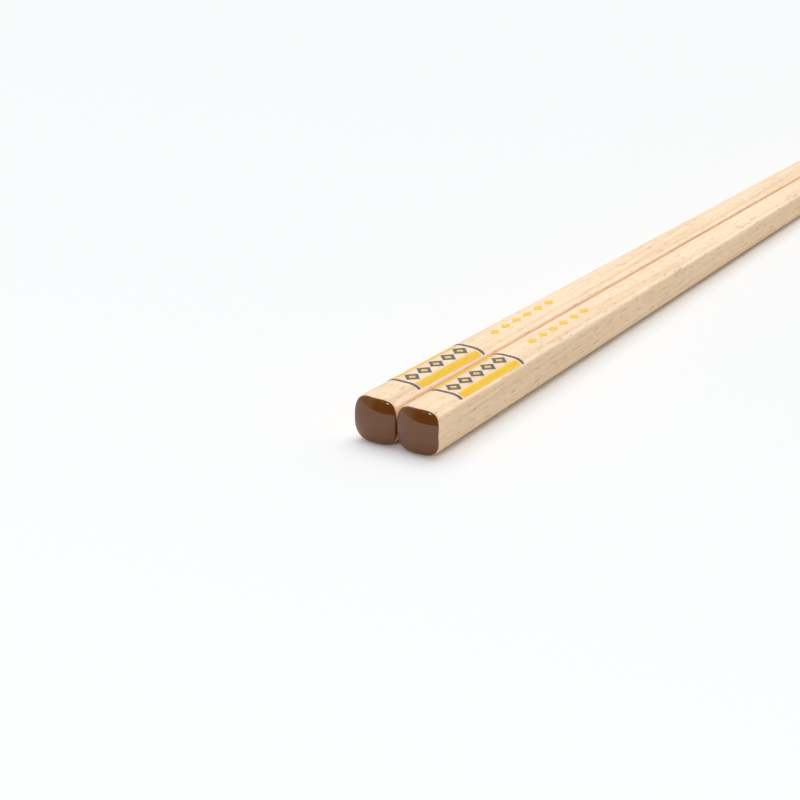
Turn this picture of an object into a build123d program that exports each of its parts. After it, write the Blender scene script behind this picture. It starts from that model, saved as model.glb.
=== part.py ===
from build123d import *
import math
import os

# Driving dimensions of one chopstick, in millimetres.
stick_length = 225.0  # from the top of the butt's dome to the tip
butt_width = 8.0
tip_width = 2.9
stick_gap = 0.1  # between the facing sides of the two sticks as they lie

# The butt end is domed and its rim is rounded. The tip is domed too.
dome_radius = 8.75
butt_rim_radius = 0.8
tip_dome_radius = 1.6
end_stretch = 5.0  # of the body at each end, which carries the dome

# The section is a rounded square down to here, and turns slowly round on the way to the tip.
square_length = 130.0
straight_shares = (0.25, 0.5, 0.75, 1.0)  # where the square stretch has its sections
turning_shares = (0.33, 0.67)  # where the stretch from there to the tip has its sections

# Outline of the section. A flat in the middle of each side is a share of the width, and one curve
# runs from flat to flat round each corner. Its handles are a share of what the flat leaves of the
# half width: the more, the fuller the corner.
square_flat_share = 0.2
square_handle_share = 0.722
tip_flat_share = 0.06
round_handle_share = 0.5523  # the handle that makes the corner a quarter of a circle

# The brown lacquer covers the end face and stops part of the way round the rim.
lacquer_thickness = 0.05
lacquer_inset = 0.16  # bare wood seen round the lacquer, looking at the end

# The print is a thin film on the top face. A band near the butt has a yellow rail along each edge,
# a chain of charcoal lozenges with yellow hearts between the rails, and a charcoal line across each
# end. A row of plain yellow lozenges follows it.
film_thickness = 0.04
band_start = 9.0
band_margin = 0.9  # between the rails and the sides of the butt
border_line = 0.6
border_gap = 0.45  # bare wood between a border line and what follows it
chain_count = 5
chain_pitch = 3.55
chain_length = 3.2
chain_width = 3.0
opening_share = 0.46  # of a charcoal lozenge, cut out of its middle
heart_share = 0.32  # of a charcoal lozenge, the yellow one inside it
rail_gap = 0.35  # bare wood between the chain and a rail
row_count = 6
row_start = 35.0
row_pitch = 3.4
row_length = 2.4
row_width = 1.7

overrun = 1.0  # how far a cutting shape runs past what it cuts

taper = (butt_width - tip_width) / stick_length
lean = math.degrees(math.atan(taper / 2))  # between the stick's axis and each of its sides


def eased(distance, square_value, tip_value):
    """A value at a distance from the butt: constant on the square stretch, then easing to the tip's."""
    way = max(0, (distance - square_length) / (stick_length - square_length))
    return square_value + (tip_value - square_value) * way * way * (3 - 2 * way)


def section(distance, growth=0):
    """The outline across the stick's axis at a distance from the butt, grown by growth all round."""
    half_width = (butt_width - taper * distance) / 2
    side = half_width + growth
    flat = eased(distance, square_flat_share, tip_flat_share) * half_width
    handle_share = eased(distance, square_handle_share, round_handle_share)
    handle = flat + handle_share * (half_width - flat) + round_handle_share * growth
    edges = []
    for quarter in range(4):
        turned = Rotation(0, 0, 90 * quarter)
        edges += [
            turned * Line((side, -flat), (side, flat)),
            turned * Bezier((side, flat), (side, handle), (handle, side), (flat, side)),
        ]
    across = Plane(origin=(distance, 0, 0), x_dir=(0, 1, 0), z_dir=(1, 0, 0))
    return across * make_face(edges)


def body_through(distances, growth=0):
    """The stick's tapered body through its sections at the distances, grown by growth all round."""
    return loft([section(distance, growth) for distance in distances], ruled=True)


def domed(body, growth=0):
    """The body with its butt cut to a dome and the dome's rim rounded, both grown by growth."""
    across = butt_width + 2 * overrun
    block = Box(dome_radius + overrun, across, across, align=(Align.MAX, Align.CENTER, Align.CENTER))
    body -= Pos(dome_radius, 0, 0) * (block - Sphere(dome_radius + growth))
    rim = body.faces().sort_by(Axis.X)[0].edges()
    return fillet(rim, butt_rim_radius + growth)


def make_stick():
    """The wood, with its axis along X and the top of the butt's dome at the origin."""
    distances = [0, end_stretch]
    distances += [share * square_length for share in straight_shares]
    distances += [square_length + share * (stick_length - square_length) for share in turning_shares]
    distances += [stick_length - end_stretch, stick_length]
    body = domed(body_through(distances))
    across = tip_width + 2 * overrun
    block = Box(tip_dome_radius + overrun, across, across, align=(Align.MIN, Align.CENTER, Align.CENTER))
    return body - Pos(stick_length - tip_dome_radius, 0, 0) * (block - Sphere(tip_dome_radius))


def make_lacquer(stick):
    """The skin of lacquer on the butt's dome, its edge an even inset inside the stick's outline."""
    end = domed(body_through([-lacquer_thickness, dome_radius], lacquer_thickness), lacquer_thickness)
    reach = Pos(-overrun, 0, 0) * extrude(section(0, -lacquer_inset), dome_radius / 2)
    return (end & reach) - stick


def upright(points):
    """A prism through the top half of the stick, standing on the outline through the points."""
    return extrude(make_face(Polyline(*points, close=True)), butt_width)


def strip(start, end, inner, outer):
    """A prism over the stretch from start to end that reaches from inner to outer across the stick."""
    return upright([(start, inner), (end, inner), (end, outer), (start, outer)])


def lozenge(middle, length, width):
    """A prism on a lozenge that lies on the middle line of the top face."""
    far = middle + length / 2
    near = middle - length / 2
    return upright([(near, 0), (middle, -width / 2), (far, 0), (middle, width / 2)])


def make_prints():
    """The yellow and the charcoal film on the top face, each a group of separate patches."""
    edge = butt_width / 2 - band_margin
    rail_start = band_start + border_line + border_gap
    rail_end = rail_start + chain_count * chain_pitch
    yellow = [strip(rail_start, rail_end, side * (chain_width / 2 + rail_gap), side * edge) for side in (-1, 1)]
    charcoal = [strip(start, start + border_line, -edge, edge) for start in (band_start, rail_end + border_gap)]
    for index in range(chain_count):
        middle = rail_start + (index + 0.5) * chain_pitch
        opening = lozenge(middle, opening_share * chain_length, opening_share * chain_width)
        charcoal.append(lozenge(middle, chain_length, chain_width) - opening)
        yellow.append(lozenge(middle, heart_share * chain_length, heart_share * chain_width))
    for index in range(row_count):
        yellow.append(lozenge(row_start + (index + 0.5) * row_pitch, row_length, row_width))
    print_end = row_start + row_count * row_pitch
    film = body_through([0, print_end], film_thickness) - body_through([-overrun, print_end + overrun])
    return [film & Compound(patches) for patches in (yellow, charcoal)]


def placed(shape, side):
    """The shape with its stick's underside level on the floor and its inner side along the gap."""
    half_width = butt_width / 2 * math.cos(math.radians(lean))
    level = Rotation(0, 0, -side * lean) * Rotation(0, lean, 0)
    return Pos(0, side * (stick_gap / 2 + half_width), half_width) * level * shape


os.makedirs("parts", exist_ok=True)
stick = make_stick()
lacquer = make_lacquer(stick)
yellow_print, charcoal_print = make_prints()

nodes = {}
for name, side in (("left", 1), ("right", -1)):
    nodes[f"{name}_stick"] = placed(stick, side)
    nodes[f"{name}_end_lacquer"] = placed(lacquer, side)
    nodes[f"{name}_yellow_print"] = placed(yellow_print, side)
    nodes[f"{name}_charcoal_print"] = placed(charcoal_print, side)

# The origin is under the middle of the pair.
middle = Compound(list(nodes.values())).bounding_box().center()
for name, shape in nodes.items():
    export_step(Pos(-middle.X, -middle.Y, 0) * shape, f"parts/{name}.step")
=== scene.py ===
import math

import bpy
from bpy.props import FloatProperty, FloatVectorProperty, PointerProperty, StringProperty
from mathutils import Matrix, Vector


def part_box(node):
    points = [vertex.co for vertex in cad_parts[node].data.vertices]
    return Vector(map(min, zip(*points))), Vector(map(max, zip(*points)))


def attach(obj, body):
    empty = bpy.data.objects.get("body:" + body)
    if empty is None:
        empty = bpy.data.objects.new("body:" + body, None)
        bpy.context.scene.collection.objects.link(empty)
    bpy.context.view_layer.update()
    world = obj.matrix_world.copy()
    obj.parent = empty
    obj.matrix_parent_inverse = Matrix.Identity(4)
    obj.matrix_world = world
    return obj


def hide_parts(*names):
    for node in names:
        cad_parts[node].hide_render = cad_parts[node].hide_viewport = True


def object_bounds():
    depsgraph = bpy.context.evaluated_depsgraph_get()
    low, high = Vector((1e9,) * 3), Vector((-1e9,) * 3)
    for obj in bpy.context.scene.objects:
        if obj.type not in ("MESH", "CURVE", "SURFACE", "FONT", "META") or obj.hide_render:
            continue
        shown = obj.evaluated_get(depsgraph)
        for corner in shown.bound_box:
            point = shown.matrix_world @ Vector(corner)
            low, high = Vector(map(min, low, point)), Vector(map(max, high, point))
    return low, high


bl_info = {
    "name": "Wooden chopsticks",
    "version": (1, 0, 0),
    "blender": (4, 5, 0),
    "location": "View3D > Sidebar > Chopsticks",
    "description": "A pair of beech chopsticks with lacquered butts and a printed band",
    "category": "Add Mesh",
}

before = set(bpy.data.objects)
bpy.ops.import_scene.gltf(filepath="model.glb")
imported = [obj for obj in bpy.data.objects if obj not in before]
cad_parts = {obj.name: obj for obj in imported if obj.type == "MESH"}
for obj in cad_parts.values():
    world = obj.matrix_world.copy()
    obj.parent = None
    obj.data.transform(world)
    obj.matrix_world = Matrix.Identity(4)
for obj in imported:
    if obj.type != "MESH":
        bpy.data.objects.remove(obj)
cad_low, cad_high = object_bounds()
MM = 0.001  # one millimetre in metres
SIDES = {"left": 1, "right": -1}  # which way from the middle of the pair each stick lies
WHITE = (1, 1, 1, 1)

# How finely the meshes are divided.
FLAT_STEPS = 3
CORNER_STEPS = 22
DOME_STEPS = 14
RIM_STEPS = 10
RING_SPACING = 1.5 * MM
RING_CLEARANCE = 1.5 * MM  # between the rounding of an end and the first plain ring
RIM_ALLOWANCE = 0.05 * MM  # how much deeper the butt's section is taken, so that its rim stays inside the taper

# Each stick is cut from another place in the wood: the turn of its growth rings about its length, and how far along,
# across and through the grain it lies, in metres.
CUTS = {
    "left": (math.radians(-38), (0.31, 0.017, 0.029)),
    "right": (math.radians(47), (-0.31, -0.017, 0.029)),
}

# The edge of the lacquer. It runs furthest round the rim where it faces the other stick, this much below level.
# The lacquer is real, but its extra reach there is painted shade, standing in for the shadow in the gap between the
# sticks.
FACING_DIP = math.radians(25)
FACING_POWER = 1.5  # the higher, the faster it draws back on both sides of that place
EDGE_WAVES = ((0.6, 3, 1), (0.4, 7, 2))  # how strong each wave is, how often it goes round, and where it starts
BEAD_REACH = 0.7  # the film's edge is rounded: its middle ring stands out this far, in film thicknesses,
BEAD_LIFT = 0.65  # and this high above the wood

# The stage, in metres from the middle of the sticks.
FLOOR_RADIUS = 6.0
FLOOR_STEPS = 64
FLOOR_FADE_START = 0.3  # from here
FLOOR_FADE_END = 1.5  # to here the paper fades to plain white
OVERHEAD_DIRECTION = (0.23, 0.22, 1.0)
SOFTBOXES = {  # direction, distance, width and height
    "back_softbox": ((0.7, 0.3, 0.45), 2.0, 1.6, 1.0),
    "side_softbox": ((0.7, -0.5, 0.5), 2.0, 1.4, 1.0),
    "window": ((-0.822, -0.083, 0.559), 1.5, 0.25, 0.18),
    "far_window": ((-0.79, 0.2, 0.565), 1.5, 0.2, 0.18),
}
FAR_WINDOW_SHARE = 1 / 7  # of the window's brightness
FLAG_RADIUS = 2.2
FLAG_HEIGHT = 5.0
FLAG_STEPS = 24
FLAG_START = 114  # degrees round from the direction of the tips to the flag's grey end
FLAG_SWEEP = 126  # degrees on to its other end
# The flag's grey and black are painted reflection: the lacquer mirrors them as its dark upper part, lighter to the
# left.
FLAG_GREY, FLAG_GREY_PLACE = "F0D0B4", 1.4  # the colour, and how far left of the sticks it starts to darken
FLAG_BLACK, FLAG_BLACK_PLACE = "17120F", 0.95  # the colour, and how far left it is reached
HEM_HEIGHT = 0.03
HEM_TURN = 2.9  # radians round to where the hem starts to rise, on the way to the grey end
HEM_RISE, HEM_SPAN = 0.16, 0.9  # how much it rises over that many radians

# The camera.
PICTURE = 800  # pixels along each side of the picture
SENSOR = 36.0  # width in millimetres
BUTT_AHEAD = 0.87 * MM  # the target lies this far in from the top of the butts' domes


class StickSizes(bpy.types.PropertyGroup):
    """Sizes of one chopstick"""

    length: FloatProperty(
        name="Length", description="From the top of the butt's dome to the tip", default=224.99 * MM,
        unit="LENGTH")
    butt_width: FloatProperty(
        name="Butt width", description="Side of the rounded square", default=8 * MM, unit="LENGTH")
    tip_width: FloatProperty(
        name="Tip width", description="Thickness of the round tip", default=2.9 * MM, unit="LENGTH")
    gap: FloatProperty(
        name="Gap", description="Between the facing sides of the sticks", default=0.1 * MM, unit="LENGTH")
    square_length: FloatProperty(
        name="Square length", description="How far the section stays a rounded square", default=130 * MM,
        unit="LENGTH")
    dome_radius: FloatProperty(
        name="Dome radius", description="Radius of the butt's domed end", default=8.75 * MM, unit="LENGTH")
    rim_radius: FloatProperty(
        name="Rim radius", description="Rounding between the dome and the sides", default=0.9 * MM,
        unit="LENGTH")
    tip_dome_radius: FloatProperty(
        name="Tip dome radius", description="Radius of the tip's domed end", default=1.6 * MM, unit="LENGTH")
    tip_rim_radius: FloatProperty(
        name="Tip rim radius", description="Rounding between the tip's dome and the sides", default=0.5 * MM,
        unit="LENGTH")
    square_flat: FloatProperty(
        name="Flat", description="Flat middle of a side, of its width", default=0.2, subtype="FACTOR")
    square_handle: FloatProperty(
        name="Corner fullness", description="Handle length of the corner curve", default=0.722,
        subtype="FACTOR")
    tip_flat: FloatProperty(
        name="Tip flat", description="Flat middle of a side at the tip, of its width", default=0.06,
        subtype="FACTOR")
    round_handle: FloatProperty(
        name="Round fullness", description="Handle length that makes the corner a quarter circle",
        default=0.5523, subtype="FACTOR")


class LacquerSizes(bpy.types.PropertyGroup):
    """Sizes of the lacquer on a butt"""

    thickness: FloatProperty(
        name="Thickness", description="Of the dipped film", default=0.05 * MM, unit="LENGTH")
    inset: FloatProperty(
        name="Inset", description="Bare wood seen round the lacquer, looking at the end", default=0.16 * MM,
        unit="LENGTH")
    waver: FloatProperty(
        name="Waver", description="How much the inset changes round the end", default=0.01 * MM,
        unit="LENGTH")
    # The lacquer is real, but its further reach where the sticks face each other is painted shade for the gap between
    # them.
    gap_shade_reach: FloatProperty(
        name="Run", description="Share of the inset that the lacquer covers where the sticks face each other",
        default=0.85, subtype="FACTOR")


class Colours(bpy.types.PropertyGroup):
    """Colours as sRGB hex"""

    beech_light: StringProperty(
        name="Beech, light", description="Pale wood between the growth lines", default="FCE0BA")
    beech_dark: StringProperty(
        name="Beech, dark", description="Late wood of the growth lines", default="EEC697")
    beech_fleck: StringProperty(
        name="Ray fleck", description="Short brown flecks of the wood's rays and pores", default="B67440")
    lacquer: StringProperty(
        name="Lacquer", description="Pigmented lacquer on the butts", default="6C3D17")
    yellow: StringProperty(
        name="Yellow ink", description="Of the rails and lozenges", default="F6C500")
    charcoal: StringProperty(
        name="Charcoal ink", description="Of the chain and the lines", default="292A2C")
    floor: StringProperty(
        name="Floor", description="Seamless white paper", default="FDFEFF")


class StageSettings(bpy.types.PropertyGroup):
    """Camera, lamps and floor"""

    azimuth: FloatProperty(
        name="Azimuth", description="Of the view, turned from the sticks' length",
        default=math.radians(32.74), subtype="ANGLE")
    elevation: FloatProperty(
        name="Elevation", description="Of the camera above the floor", default=math.radians(23.18),
        subtype="ANGLE")
    distance: FloatProperty(
        name="Distance", description="From the camera to the butts", default=705.7 * MM, unit="LENGTH")
    lens: FloatProperty(name="Lens", description="Focal length in millimetres", default=200)
    target: FloatVectorProperty(
        name="Target pixel", description="Where the middle of the butts shows in the picture", size=2,
        default=(395.79, 426.06))
    ambient: FloatProperty(
        name="Ambient", description="Strength of the light from all round", default=0.43)
    key: FloatProperty(name="Key", description="Strength of the overhead softbox", default=0.49)
    key_spread: FloatProperty(
        name="Key spread", description="Angle that the overhead softbox fills", default=math.radians(60),
        subtype="ANGLE")
    back: FloatProperty(
        name="Back", description="Brightness of the softbox behind and to the left", default=1.1)
    side: FloatProperty(
        name="Side", description="Brightness of the softbox behind and to the right", default=5.0)
    window: FloatProperty(
        name="Window", description="Brightness of the small window on the camera's side", default=21)


def linear(hex_colour, alpha=1.0):
    """An sRGB hex colour as the linear values that a shader takes."""
    values = []
    for place in (0, 2, 4):
        value = int(hex_colour[place:place + 2], 16) / 255
        values.append(value / 12.92 if value <= 0.04045 else ((value + 0.055) / 1.055) ** 2.4)
    return (*values, alpha)


def add(tree, kind, inputs=None, **settings):
    """Adds one node. settings are its own properties; inputs maps a socket's name or number to a link or a value."""
    node = tree.nodes.new(kind)
    for name, value in settings.items():
        setattr(node, name, value)
    for name, value in (inputs or {}).items():
        if isinstance(value, bpy.types.NodeSocket):
            tree.links.new(value, node.inputs[name])
        else:
            node.inputs[name].default_value = value
    return node


def new_material(name):
    """An empty material and its node tree."""
    material = bpy.data.materials.new(name)
    material.use_nodes = True
    material.node_tree.nodes.clear()
    return material, material.node_tree


def grain_pattern(tree, coords, cell, kind="ShaderNodeTexNoise", values=None, **settings):
    """A texture whose features measure about cell, given in millimetres along, across and through the grain. values
    are for its other sockets."""
    scale = [1 / (size * MM) for size in cell]
    mapped = add(tree, "ShaderNodeMapping", {"Vector": coords, "Scale": scale})
    return add(tree, kind, {"Vector": mapped.outputs[0], "Scale": 1.0, **(values or {})}, **settings)


def beech(name, colours, turn, shift):
    """Steamed beech, planed, sanded and sealed with a thin clear satin varnish. It is pale pinkish tan with faint
    straight lines along the grain, and where its rays are cut across they show as short brown flecks."""
    material, tree = new_material(name)
    place = add(tree, "ShaderNodeTexCoord").outputs["Object"]
    turned = add(tree, "ShaderNodeMapping", {"Vector": place, "Location": shift, "Rotation": (turn, 0, 0)})
    # The grain sways across and through the stick by about 0.3 mm over some centimetres of length.
    swing = 1.2 * MM
    sway = grain_pattern(tree, turned.outputs[0], (35, 9, 9), values={"Detail": 1.0})
    level = add(tree, "ShaderNodeVectorMath", {0: sway.outputs["Color"], 1: (0.5, 0.5, 0.5)}, operation="SUBTRACT")
    swayed = add(tree, "ShaderNodeVectorMath", {0: level.outputs[0], 1: (0, swing, swing), 2: turned.outputs[0]},
                 operation="MULTIPLY_ADD")
    coords = swayed.outputs[0]

    # Growth lines are about 0.6 mm apart, and fibres some millimetres long lie between them. Real fibres are 0.03 mm
    # wide, and these are drawn 0.15 mm wide so that they show. Both darken the wood, the fibres a little less.
    growth = grain_pattern(tree, coords, (70, 0.6, 2.5), values={"Detail": 2.5, "Roughness": 0.6})
    fibres = grain_pattern(tree, coords, (5, 0.15, 0.2), values={"Detail": 2.0, "Roughness": 0.65})
    clouds = grain_pattern(tree, coords, (24, 5, 5), values={"Detail": 1.0})
    lines = add(tree, "ShaderNodeMapRange", {
        "Value": growth.outputs["Fac"], "From Min": 0.38, "From Max": 0.68}, interpolation_type="SMOOTHSTEP")
    threads = add(tree, "ShaderNodeMapRange", {
        "Value": fibres.outputs["Fac"], "From Min": 0.3, "From Max": 0.72})
    thread_weight, contrast = 0.9, 0.55
    body = add(tree, "ShaderNodeMath", {0: threads.outputs[0], 1: thread_weight, 2: lines.outputs[0]},
               operation="MULTIPLY_ADD")
    shade = add(tree, "ShaderNodeMath", {0: body.outputs[0], 1: contrast}, operation="MULTIPLY", use_clamp=True)
    wood = add(tree, "ShaderNodeMix", {
        0: shade.outputs[0], 6: linear(colours.beech_light), 7: linear(colours.beech_dark)}, data_type="RGBA")
    # The wood is a little lighter and darker in clouds about 24 mm long.
    warmth = add(tree, "ShaderNodeMapRange", {
        "Value": clouds.outputs["Fac"], "From Min": 0.3, "From Max": 0.7, "To Min": 0.94, "To Max": 1.03})
    toned = add(tree, "ShaderNodeHueSaturation", {"Value": warmth.outputs[0], "Color": wood.outputs[2]})

    # A ray is a thin sheet that runs out from the pith. Cut across, it is a dash about 2 mm long and 0.1 mm wide. Cut
    # pores are finer and closer dashes, about 1.2 mm long and 0.08 mm wide. A dash takes up about 0.44 of its cell
    # each way, and how strong it shows is a matter of chance. Some don't show at all.
    rays = ((5.0, 0.24, 0.45), 0.75)
    pores = ((2.8, 0.17, 0.26), 0.8)
    marks = []
    for cell, strongest in (rays, pores):
        cells = grain_pattern(tree, coords, cell, "ShaderNodeTexVoronoi", feature="F1")
        dash = add(tree, "ShaderNodeMapRange", {
            "Value": cells.outputs["Distance"], "From Min": 0.17, "From Max": 0.27, "To Min": 1.0, "To Max": 0.0},
            interpolation_type="SMOOTHSTEP")
        chance = add(tree, "ShaderNodeSeparateColor", {0: cells.outputs["Color"]})
        weight = add(tree, "ShaderNodeMapRange", {
            "Value": chance.outputs[0], "From Min": 0.25, "From Max": 0.95, "To Max": strongest})
        marks.append(add(tree, "ShaderNodeMath", {0: dash.outputs[0], 1: weight.outputs[0]}, operation="MULTIPLY"))
    fleck = add(tree, "ShaderNodeMath", {0: marks[0].outputs[0], 1: marks[1].outputs[0]}, operation="MAXIMUM")
    flecked = add(tree, "ShaderNodeMix", {
        0: fleck.outputs[0], 6: toned.outputs[0], 7: linear(colours.beech_fleck)}, data_type="RGBA")

    # The varnish rises and sinks a little with the fibres and the rays, so the sheen breaks up there.
    fleck_height = -0.1
    relief = add(tree, "ShaderNodeMath", {0: fleck.outputs[0], 1: fleck_height, 2: threads.outputs[0]},
                 operation="MULTIPLY_ADD")
    bump = add(tree, "ShaderNodeBump", {"Height": relief.outputs[0], "Strength": 0.3, "Distance": 0.02 * MM})
    gloss = add(tree, "ShaderNodeMapRange", {
        "Value": fibres.outputs["Fac"], "From Min": 0.3, "From Max": 0.7, "To Min": 0.3, "To Max": 0.42})
    shader = add(tree, "ShaderNodeBsdfPrincipled", {
        "Base Color": flecked.outputs[2], "Roughness": gloss.outputs[0], "Normal": bump.outputs[0], "IOR": 1.5})
    add(tree, "ShaderNodeOutputMaterial", {"Surface": shader.outputs[0]})
    return material


def lacquer_material(colours):
    """Brown pigmented gloss lacquer, dipped. It mirrors the room softly, and its skin has a slight orange peel."""
    material, tree = new_material("dipped_gloss_lacquer")
    coords = add(tree, "ShaderNodeTexCoord").outputs["Object"]
    # The waves of the orange peel are about 1.5 mm long. Specks of dust under the film are about 0.1 mm wide, and
    # 0.7 mm apart. They stand up an eighth as high as the waves.
    peel = grain_pattern(tree, coords, (1.5, 1.5, 1.5), values={"Detail": 1.0})
    dust = grain_pattern(tree, coords, (0.7, 0.7, 0.7), "ShaderNodeTexVoronoi", feature="F1")
    speck = add(tree, "ShaderNodeMapRange", {
        "Value": dust.outputs["Distance"], "From Min": 0.04, "From Max": 0.12, "To Min": 1.0, "To Max": 0.0})
    speck_height = 0.12
    height = add(tree, "ShaderNodeMath", {0: speck.outputs[0], 1: speck_height, 2: peel.outputs["Fac"]},
                 operation="MULTIPLY_ADD")
    bump = add(tree, "ShaderNodeBump", {"Height": height.outputs[0], "Strength": 0.1, "Distance": 0.015 * MM})
    tint = add(tree, "ShaderNodeMapRange", {
        "Value": peel.outputs["Fac"], "From Min": 0.3, "From Max": 0.7, "To Min": 0.95, "To Max": 1.05})
    brown = add(tree, "ShaderNodeHueSaturation", {"Value": tint.outputs[0], "Color": linear(colours.lacquer)})
    shader = add(tree, "ShaderNodeBsdfPrincipled", {
        "Base Color": brown.outputs[0], "Roughness": 0.05, "Normal": bump.outputs[0], "IOR": 1.57})
    add(tree, "ShaderNodeOutputMaterial", {"Surface": shader.outputs[0]})
    return material


def ink_material(name, colour, roughness, sheen):
    """Screen-printed ink under the varnish. It is opaque and even, a little thinner over the wood's pores. sheen is
    the shader's specular level, where 0.5 is plain varnish."""
    material, tree = new_material(name)
    coords = add(tree, "ShaderNodeTexCoord").outputs["Object"]
    # The ink sinks into the grain in streaks 0.2 mm wide and 3 mm long.
    streaks = grain_pattern(tree, coords, (3, 0.2, 0.2), values={"Detail": 2.0})
    shade = add(tree, "ShaderNodeMapRange", {
        "Value": streaks.outputs["Fac"], "From Min": 0.3, "From Max": 0.7, "To Min": 0.93, "To Max": 1.05})
    tone = add(tree, "ShaderNodeHueSaturation", {"Value": shade.outputs[0], "Color": linear(colour)})
    bump = add(tree, "ShaderNodeBump", {"Height": streaks.outputs["Fac"], "Strength": 0.2, "Distance": 0.02 * MM})
    shader = add(tree, "ShaderNodeBsdfPrincipled", {
        "Base Color": tone.outputs[0], "Roughness": roughness, "Normal": bump.outputs[0], "IOR": 1.5,
        "Specular IOR Level": sheen})
    add(tree, "ShaderNodeOutputMaterial", {"Surface": shader.outputs[0]})
    return material


def mesh_object(name, points, faces, material):
    """A smooth-shaded mesh object at the origin."""
    mesh = bpy.data.meshes.new(name)
    mesh.from_pydata(points, [], faces)
    mesh.polygons.foreach_set("use_smooth", [True] * len(mesh.polygons))
    mesh.materials.append(material)
    mesh.validate()
    piece = bpy.data.objects.new(name, mesh)
    bpy.context.scene.collection.objects.link(piece)
    return piece


def eased(sizes, distance, square_value, tip_value):
    """A value at a distance from the butt: constant on the square stretch, then easing to the tip's."""
    way = max(0.0, (distance - sizes.square_length) / (sizes.length - sizes.square_length))
    return square_value + (tip_value - square_value) * way * way * (3 - 2 * way)


def half_width_at(sizes, distance):
    """Half the stick's width at a distance from the butt."""
    return (sizes.butt_width + (sizes.tip_width - sizes.butt_width) * distance / sizes.length) / 2


def rim_depth(width, dome, rim):
    """How far behind the dome's top the rim runs out into the middle of a side."""
    return dome - math.sqrt((dome - rim) ** 2 - (width / 2 - rim) ** 2)


def outline(sizes, distance):
    """Points round the section at a distance from the butt, as (y, z): a flat and a corner curve for each side."""
    side = half_width_at(sizes, distance)
    flat = eased(sizes, distance, sizes.square_flat, sizes.tip_flat) * side
    handle = flat + eased(sizes, distance, sizes.square_handle, sizes.round_handle) * (side - flat)
    quarter = [(side, flat * (2 * step / FLAT_STEPS - 1)) for step in range(FLAT_STEPS)]
    ends = [Vector((side, flat)), Vector((side, handle)), Vector((handle, side)), Vector((flat, side))]
    for step in range(CORNER_STEPS):
        t = step / CORNER_STEPS
        weights = [(1 - t) ** 3, 3 * t * (1 - t) ** 2, 3 * t * t * (1 - t), t ** 3]
        quarter.append(tuple(sum((weight * end for weight, end in zip(weights, ends)), Vector((0, 0)))))
    points = []
    for turn in range(4):
        c, s = math.cos(turn * math.pi / 2), math.sin(turn * math.pi / 2)
        points += [(c * y - s * z, s * y + c * z) for y, z in quarter]
    return points


def butt_outline(sizes):
    """The section where the butt's rim runs out into the sides."""
    return outline(sizes, rim_depth(sizes.butt_width, sizes.dome_radius, sizes.rim_radius) + RIM_ALLOWANCE)


def end_arc(radius, dome, rim, angle, lift):
    """A point of a domed end with a rounded rim, on a stick of that radius. angle is the surface's lean from the
    stick's axis: the dome runs up to the rim's own angle, and from there the rim turns on to a right angle.
    It gives the depth behind the dome's top and the distance from the axis, lifted off the surface by lift."""
    centre_out = radius - rim
    joint = math.asin(centre_out / (dome - rim))
    if angle <= joint:
        return dome - (dome + lift) * math.cos(angle), (dome + lift) * math.sin(angle)
    centre_depth = dome - (dome - rim) * math.cos(joint)
    return centre_depth - (rim + lift) * math.cos(angle), centre_out + (rim + lift) * math.sin(angle)


def end_rings(section, dome, rim, reach=None, lift=0.0):
    """Rings over a domed end from near its top outwards, each a list of (depth, y, z): DOME_STEPS over the dome, then
    RIM_STEPS over the rim. reach gives the angle at which the last ring stops for each point, or a right angle."""
    radii = [math.hypot(y, z) for y, z in section]
    joints = [math.asin((radius - rim) / (dome - rim)) for radius in radii]
    stops = reach or [math.pi / 2] * len(section)
    rings = []
    for step in range(1, DOME_STEPS + RIM_STEPS + 1):
        ring = []
        for (y, z), radius, joint, stop in zip(section, radii, joints, stops):
            if step <= DOME_STEPS:
                angle = joint * step / DOME_STEPS
            else:
                angle = joint + (stop - joint) * (step - DOME_STEPS) / RIM_STEPS
            depth, out = end_arc(radius, dome, rim, angle, lift)
            ring.append((depth, y * out / radius, z * out / radius))
        rings.append(ring)
    return rings


def skin(rings, first, last):
    """Points and faces over rings of equal size, closed at both ends with a point."""
    count = len(rings[0])
    points = [first] + [point for ring in rings for point in ring] + [last]
    end = len(points) - 1
    faces = []
    for index in range(count):
        after = (index + 1) % count
        faces.append((0, 1 + after, 1 + index))
        faces.append((end, end - count + index, end - count + after))
        for row in range(len(rings) - 1):
            near, far = 1 + row * count, 1 + (row + 1) * count
            faces.append((near + index, near + after, far + after, far + index))
    return points, faces


def placed(sizes, side, points):
    """The points moved from the stick's own axis to where it lies: underside level, inner side along the gap."""
    lean = math.atan((sizes.butt_width - sizes.tip_width) / sizes.length / 2)
    half = sizes.butt_width / 2 * math.cos(lean)
    start = cad_low.x + bpy.context.scene.lacquer_sizes.thickness
    move = Matrix.Translation((start, side * (sizes.gap / 2 + half), half))
    move = move @ Matrix.Rotation(-side * lean, 4, "Z") @ Matrix.Rotation(lean, 4, "Y")
    return [move @ Vector(point) for point in points]


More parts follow.
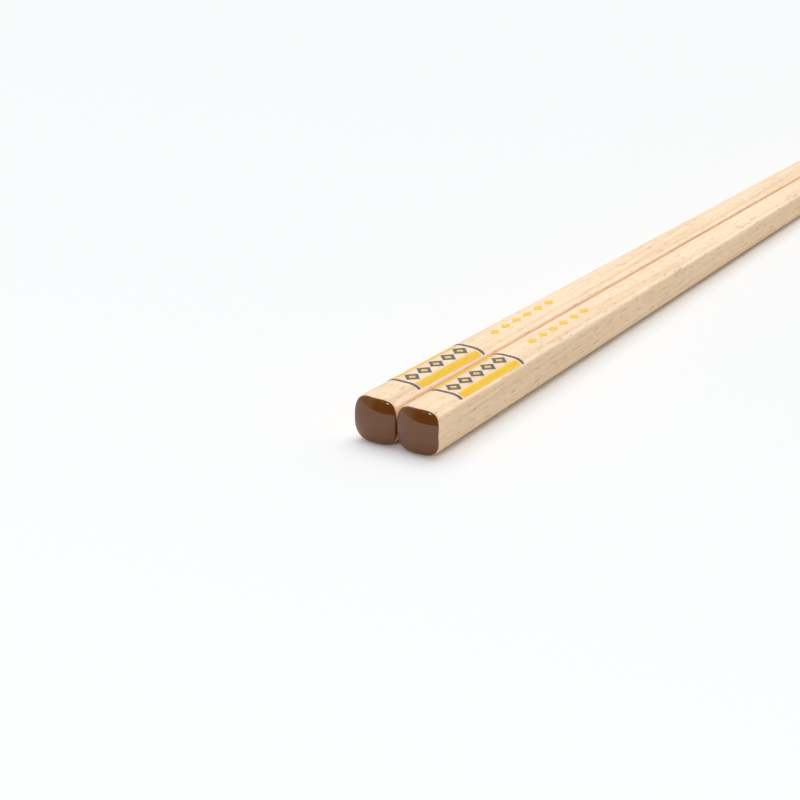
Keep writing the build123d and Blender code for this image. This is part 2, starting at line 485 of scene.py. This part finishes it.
class CHOPSTICKS_OT_sticks(bpy.types.Operator):
    """Make the two beech sticks"""

    bl_idname = "chopsticks.sticks"
    bl_label = "Make sticks"

    def execute(self, context):
        sizes, colours = context.scene.stick_sizes, context.scene.stick_colours
        butt = end_rings(butt_outline(sizes), sizes.dome_radius, sizes.rim_radius)
        tip_depth = rim_depth(sizes.tip_width, sizes.tip_dome_radius, sizes.tip_rim_radius)
        tip = end_rings(outline(sizes, sizes.length - tip_depth), sizes.tip_dome_radius, sizes.tip_rim_radius)
        start = max(depth for depth, y, z in butt[-1]) + RING_CLEARANCE
        end = sizes.length - max(depth for depth, y, z in tip[-1]) - RING_CLEARANCE
        count = round((end - start) / RING_SPACING)
        plain = []
        for step in range(count + 1):
            distance = start + (end - start) * step / count
            plain.append([(distance, y, z) for y, z in outline(sizes, distance)])
        closing = [[(sizes.length - depth, y, z) for depth, y, z in ring] for ring in reversed(tip)]
        points, faces = skin(butt + plain + closing, (0, 0, 0), (sizes.length, 0, 0))
        for name, side in SIDES.items():
            wood = beech(name + "_satin_beech", colours, *CUTS[name])
            piece = mesh_object(name + "_wood", placed(sizes, side, points), faces, wood)
            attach(piece, "root")
            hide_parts(name + "_stick")
        return {"FINISHED"}


class CHOPSTICKS_OT_lacquer(bpy.types.Operator):
    """Make the lacquer on the two butts"""

    bl_idname = "chopsticks.lacquer"
    bl_label = "Make lacquer"

    def execute(self, context):
        sizes, film = context.scene.stick_sizes, context.scene.lacquer_sizes
        dome, rim = sizes.dome_radius, sizes.rim_radius
        section = butt_outline(sizes)
        brown = lacquer_material(context.scene.stick_colours)
        for name, side in SIDES.items():
            reach = []
            for y, z in section:
                around = math.atan2(z, y)
                waver = sum(share * math.sin(times * around + start * side) for share, times, start in EDGE_WAVES)
                # Painted shade: facing the other stick the lacquer reaches further round the rim, darkening the
                # shaded gap between the sticks.
                facing = max(0.0, math.cos(around - side * FACING_DIP) * -side) ** FACING_POWER
                inset = film.inset * (1 - facing * film.gap_shade_reach) + film.waver * waver
                reach.append(math.asin(1 - inset / rim))
            # The film's outer side, the ring along its rounded edge, and its inner side on the wood.
            outer = end_rings(section, dome, rim, reach, film.thickness)
            edge = [angle + film.thickness / rim * BEAD_REACH for angle in reach]
            bead = end_rings(section, dome, rim, edge, film.thickness * BEAD_LIFT)[-1]
            foot = [angle + film.thickness / rim for angle in reach]
            inner = end_rings(section, dome, rim, foot)
            points, faces = skin(outer + [bead] + inner[::-1], (-film.thickness, 0, 0), (0, 0, 0))
            piece = mesh_object(name + "_lacquer", placed(sizes, side, points), faces, brown)
            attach(piece, "root")
            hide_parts(name + "_end_lacquer")
        return {"FINISHED"}


class CHOPSTICKS_OT_prints(bpy.types.Operator):
    """Give the printed films their inks"""

    bl_idname = "chopsticks.prints"
    bl_label = "Ink the prints"

    def execute(self, context):
        colours = context.scene.stick_colours
        inks = {
            "yellow": ink_material("screen_printed_yellow_ink", colours.yellow, roughness=0.4, sheen=0.25),
            "charcoal": ink_material("screen_printed_charcoal_ink", colours.charcoal, roughness=0.42, sheen=0.4),
        }
        for side in SIDES:
            for ink, material in inks.items():
                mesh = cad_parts[f"{side}_{ink}_print"].data
                mesh.materials.clear()
                mesh.materials.append(material)
        return {"FINISHED"}


class CHOPSTICKS_OT_stage(bpy.types.Operator):
    """Make the floor, the light and the camera"""

    bl_idname = "chopsticks.stage"
    bl_label = "Make stage"

    def execute(self, context):
        settings = context.scene.stage_settings
        self.floor(context.scene.stick_colours)
        self.world(settings)
        self.lamps(settings)
        self.flag()
        self.camera(context.scene, settings)
        return {"FINISHED"}

    def seen(self, tree):
        """1 for the rays that carry a picture: the camera's own, mirror images and what is seen through glass."""
        path = add(tree, "ShaderNodeLightPath").outputs
        seen = add(tree, "ShaderNodeMath", {0: path["Is Camera Ray"], 1: path["Is Glossy Ray"]}, operation="MAXIMUM")
        seen = add(tree, "ShaderNodeMath", {0: seen.outputs[0], 1: path["Is Transmission Ray"]}, operation="MAXIMUM")
        return seen.outputs[0]

    def floor(self, colours):
        """Seamless white paper. Far from the sticks it fades to the world's plain white, so that no edge shows."""
        material, tree = new_material("white_paper")
        matt = add(tree, "ShaderNodeBsdfDiffuse", {"Color": linear(colours.floor)})
        place = add(tree, "ShaderNodeTexCoord").outputs["Object"]
        distance = add(tree, "ShaderNodeVectorMath", {0: place}, operation="LENGTH")
        fade = add(tree, "ShaderNodeMapRange", {
            "Value": distance.outputs["Value"], "From Min": FLOOR_FADE_START, "From Max": FLOOR_FADE_END},
            interpolation_type="SMOOTHSTEP")
        share = add(tree, "ShaderNodeMath", {0: fade.outputs[0], 1: self.seen(tree)}, operation="MULTIPLY")
        white = add(tree, "ShaderNodeEmission", {"Color": WHITE, "Strength": 1.0})
        shader = add(tree, "ShaderNodeMixShader", {0: share.outputs[0], 1: matt.outputs[0], 2: white.outputs[0]})
        add(tree, "ShaderNodeOutputMaterial", {"Surface": shader.outputs[0]})
        turns = [2 * math.pi * index / FLOOR_STEPS for index in range(FLOOR_STEPS)]
        points = [(FLOOR_RADIUS * math.cos(turn), FLOOR_RADIUS * math.sin(turn), 0) for turn in turns]
        paper = mesh_object("paper", points, [tuple(range(FLOOR_STEPS))], material)

    def world(self, settings):
        """Even light from all round. The camera and mirror images see it as white."""
        world = bpy.data.worlds.new("studio")
        world.use_nodes = True
        tree = world.node_tree
        tree.nodes.clear()
        light = add(tree, "ShaderNodeBackground", {"Color": WHITE, "Strength": settings.ambient})
        white = add(tree, "ShaderNodeBackground", {"Color": WHITE, "Strength": 1.0})
        mixed = add(tree, "ShaderNodeMixShader", {0: self.seen(tree), 1: light.outputs[0], 2: white.outputs[0]})
        add(tree, "ShaderNodeOutputWorld", {"Surface": mixed.outputs[0]})
        bpy.context.scene.world = world

    def lamps(self, settings):
        """A large softbox overhead, two behind the sticks, and a small window with a fainter one on the camera's
        side. The overhead one and the window light the sticks. The others only show in their sheen."""
        scene = bpy.context.scene
        lamp = bpy.data.lights.new("overhead", "SUN")
        lamp.energy = settings.key * math.pi  # strength 1 renders white paper that faces it as plain white
        lamp.angle = settings.key_spread
        overhead = bpy.data.objects.new("overhead", lamp)
        overhead.rotation_euler = Vector(OVERHEAD_DIRECTION).to_track_quat("Z", "Y").to_euler()
        scene.collection.objects.link(overhead)
        brightness = {
            "back_softbox": settings.back,
            "side_softbox": settings.side,
            "window": settings.window,
            "far_window": settings.window * FAR_WINDOW_SHARE,
        }
        for name, (direction, distance, width, height) in SOFTBOXES.items():
            lamp = bpy.data.lights.new(name, "AREA")
            lamp.shape = "RECTANGLE"
            lamp.size = width
            lamp.size_y = height
            lamp.energy = brightness[name] * math.pi * width * height
            softbox = bpy.data.objects.new(name, lamp)
            softbox.location = Vector(direction).normalized() * distance
            softbox.rotation_euler = Vector(direction).to_track_quat("Z", "Y").to_euler()
            softbox.visible_diffuse = name == "window"
            scene.collection.objects.link(softbox)

    def flag(self):
        """A tall cloth round the camera's side of the table. It is warm grey at one end, where its hem rises off the
        table, and black from there on. Only mirror images see it: its grey and black are painted reflection, which
        give the lacquer its dark upper part, lighter towards the left."""
        material, tree = new_material("reflection_cloth")
        place = add(tree, "ShaderNodeTexCoord").outputs["Object"]
        across = add(tree, "ShaderNodeSeparateXYZ", {0: place}).outputs["Y"]
        # Painted reflection: the cloth darkens from grey to black across, and the lacquer mirrors that.
        reflection_fade = add(tree, "ShaderNodeMapRange", {
            "Value": across, "From Min": FLAG_GREY_PLACE, "From Max": FLAG_BLACK_PLACE})
        colour = add(tree, "ShaderNodeMix", {
            0: reflection_fade.outputs[0], 6: linear(FLAG_GREY), 7: linear(FLAG_BLACK)}, data_type="RGBA")
        shader = add(tree, "ShaderNodeBsdfDiffuse", {"Color": colour.outputs[2]})
        add(tree, "ShaderNodeOutputMaterial", {"Surface": shader.outputs[0]})
        turns = [math.radians(FLAG_START + FLAG_SWEEP * index / FLAG_STEPS) for index in range(FLAG_STEPS + 1)]
        hems = [HEM_HEIGHT + HEM_RISE * max(0.0, (HEM_TURN - turn) / HEM_SPAN) for turn in turns]
        points = [(FLAG_RADIUS * math.cos(turn), FLAG_RADIUS * math.sin(turn), hem) for turn, hem in zip(turns, hems)]
        points += [(x, y, FLAG_HEIGHT) for x, y, hem in points]
        row = FLAG_STEPS + 1
        faces = [(index, index + 1, row + index + 1, row + index) for index in range(FLAG_STEPS)]
        cloth = mesh_object("flag", points, faces, material)
        cloth.visible_camera = False
        cloth.visible_diffuse = False
        cloth.visible_transmission = False
        cloth.visible_shadow = False

    def camera(self, scene, settings):
        """A long lens at the photograph's viewing angle, turned so that the target shows at its pixel."""
        azimuth, elevation = settings.azimuth, settings.elevation
        ahead = Vector((math.cos(azimuth) * math.cos(elevation), math.sin(azimuth) * math.cos(elevation),
                        -math.sin(elevation)))
        right = Vector((math.sin(azimuth), -math.cos(azimuth), 0))
        up = right.cross(ahead)
        pixels = settings.lens / SENSOR * PICTURE  # focal length in pixels
        pan = math.atan2(settings.target[0] - PICTURE / 2, pixels)
        tilt = math.atan2(settings.target[1] - PICTURE / 2, pixels)
        across = math.cos(pan) * right + math.sin(pan) * ahead
        level = math.cos(pan) * ahead - math.sin(pan) * right
        upward = math.cos(tilt) * up - math.sin(tilt) * level
        forward = math.sin(tilt) * up + math.cos(tilt) * level
        low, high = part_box("left_stick")
        target = Vector((low.x + BUTT_AHEAD, 0, (low.z + high.z) / 2))
        lens = bpy.data.cameras.new("camera")
        lens.lens = settings.lens
        lens.sensor_width = SENSOR
        camera = bpy.data.objects.new("camera", lens)
        turned = Matrix((across, upward, -forward)).transposed().to_4x4()
        camera.matrix_world = Matrix.Translation(target - settings.distance * ahead) @ turned
        scene.collection.objects.link(camera)
        scene.camera = camera
        scene.view_settings.view_transform = "Standard"


class CHOPSTICKS_PT_panel(bpy.types.Panel):
    """Sizes, colours and buttons in the 3D view's sidebar"""

    bl_idname = "CHOPSTICKS_PT_panel"
    bl_label = "Chopsticks"
    bl_space_type = "VIEW_3D"
    bl_region_type = "UI"
    bl_category = "Chopsticks"

    def draw(self, context):
        for group in GROUPS:
            box = self.layout.box()
            settings = getattr(context.scene, group)
            for name in settings.__annotations__:
                box.prop(settings, name)
        for operator in OPERATORS:
            self.layout.operator(operator.bl_idname)


GROUPS = {
    "stick_sizes": StickSizes,
    "lacquer_sizes": LacquerSizes,
    "stick_colours": Colours,
    "stage_settings": StageSettings,
}
OPERATORS = (CHOPSTICKS_OT_sticks, CHOPSTICKS_OT_lacquer, CHOPSTICKS_OT_prints, CHOPSTICKS_OT_stage)


def register():
    """Adds the settings, the operators and the panel to Blender."""
    for group, kind in GROUPS.items():
        bpy.utils.register_class(kind)
        setattr(bpy.types.Scene, group, PointerProperty(type=kind))
    for kind in (*OPERATORS, CHOPSTICKS_PT_panel):
        bpy.utils.register_class(kind)


def unregister():
    """Takes them out again."""
    for kind in (CHOPSTICKS_PT_panel, *OPERATORS):
        bpy.utils.unregister_class(kind)
    for group, kind in GROUPS.items():
        delattr(bpy.types.Scene, group)
        bpy.utils.unregister_class(kind)


def main():
    """Makes the whole model and its stage."""
    register()
    bpy.ops.chopsticks.sticks()
    bpy.ops.chopsticks.lacquer()
    bpy.ops.chopsticks.prints()
    bpy.ops.chopsticks.stage()


if __name__ == "__main__":
    main()
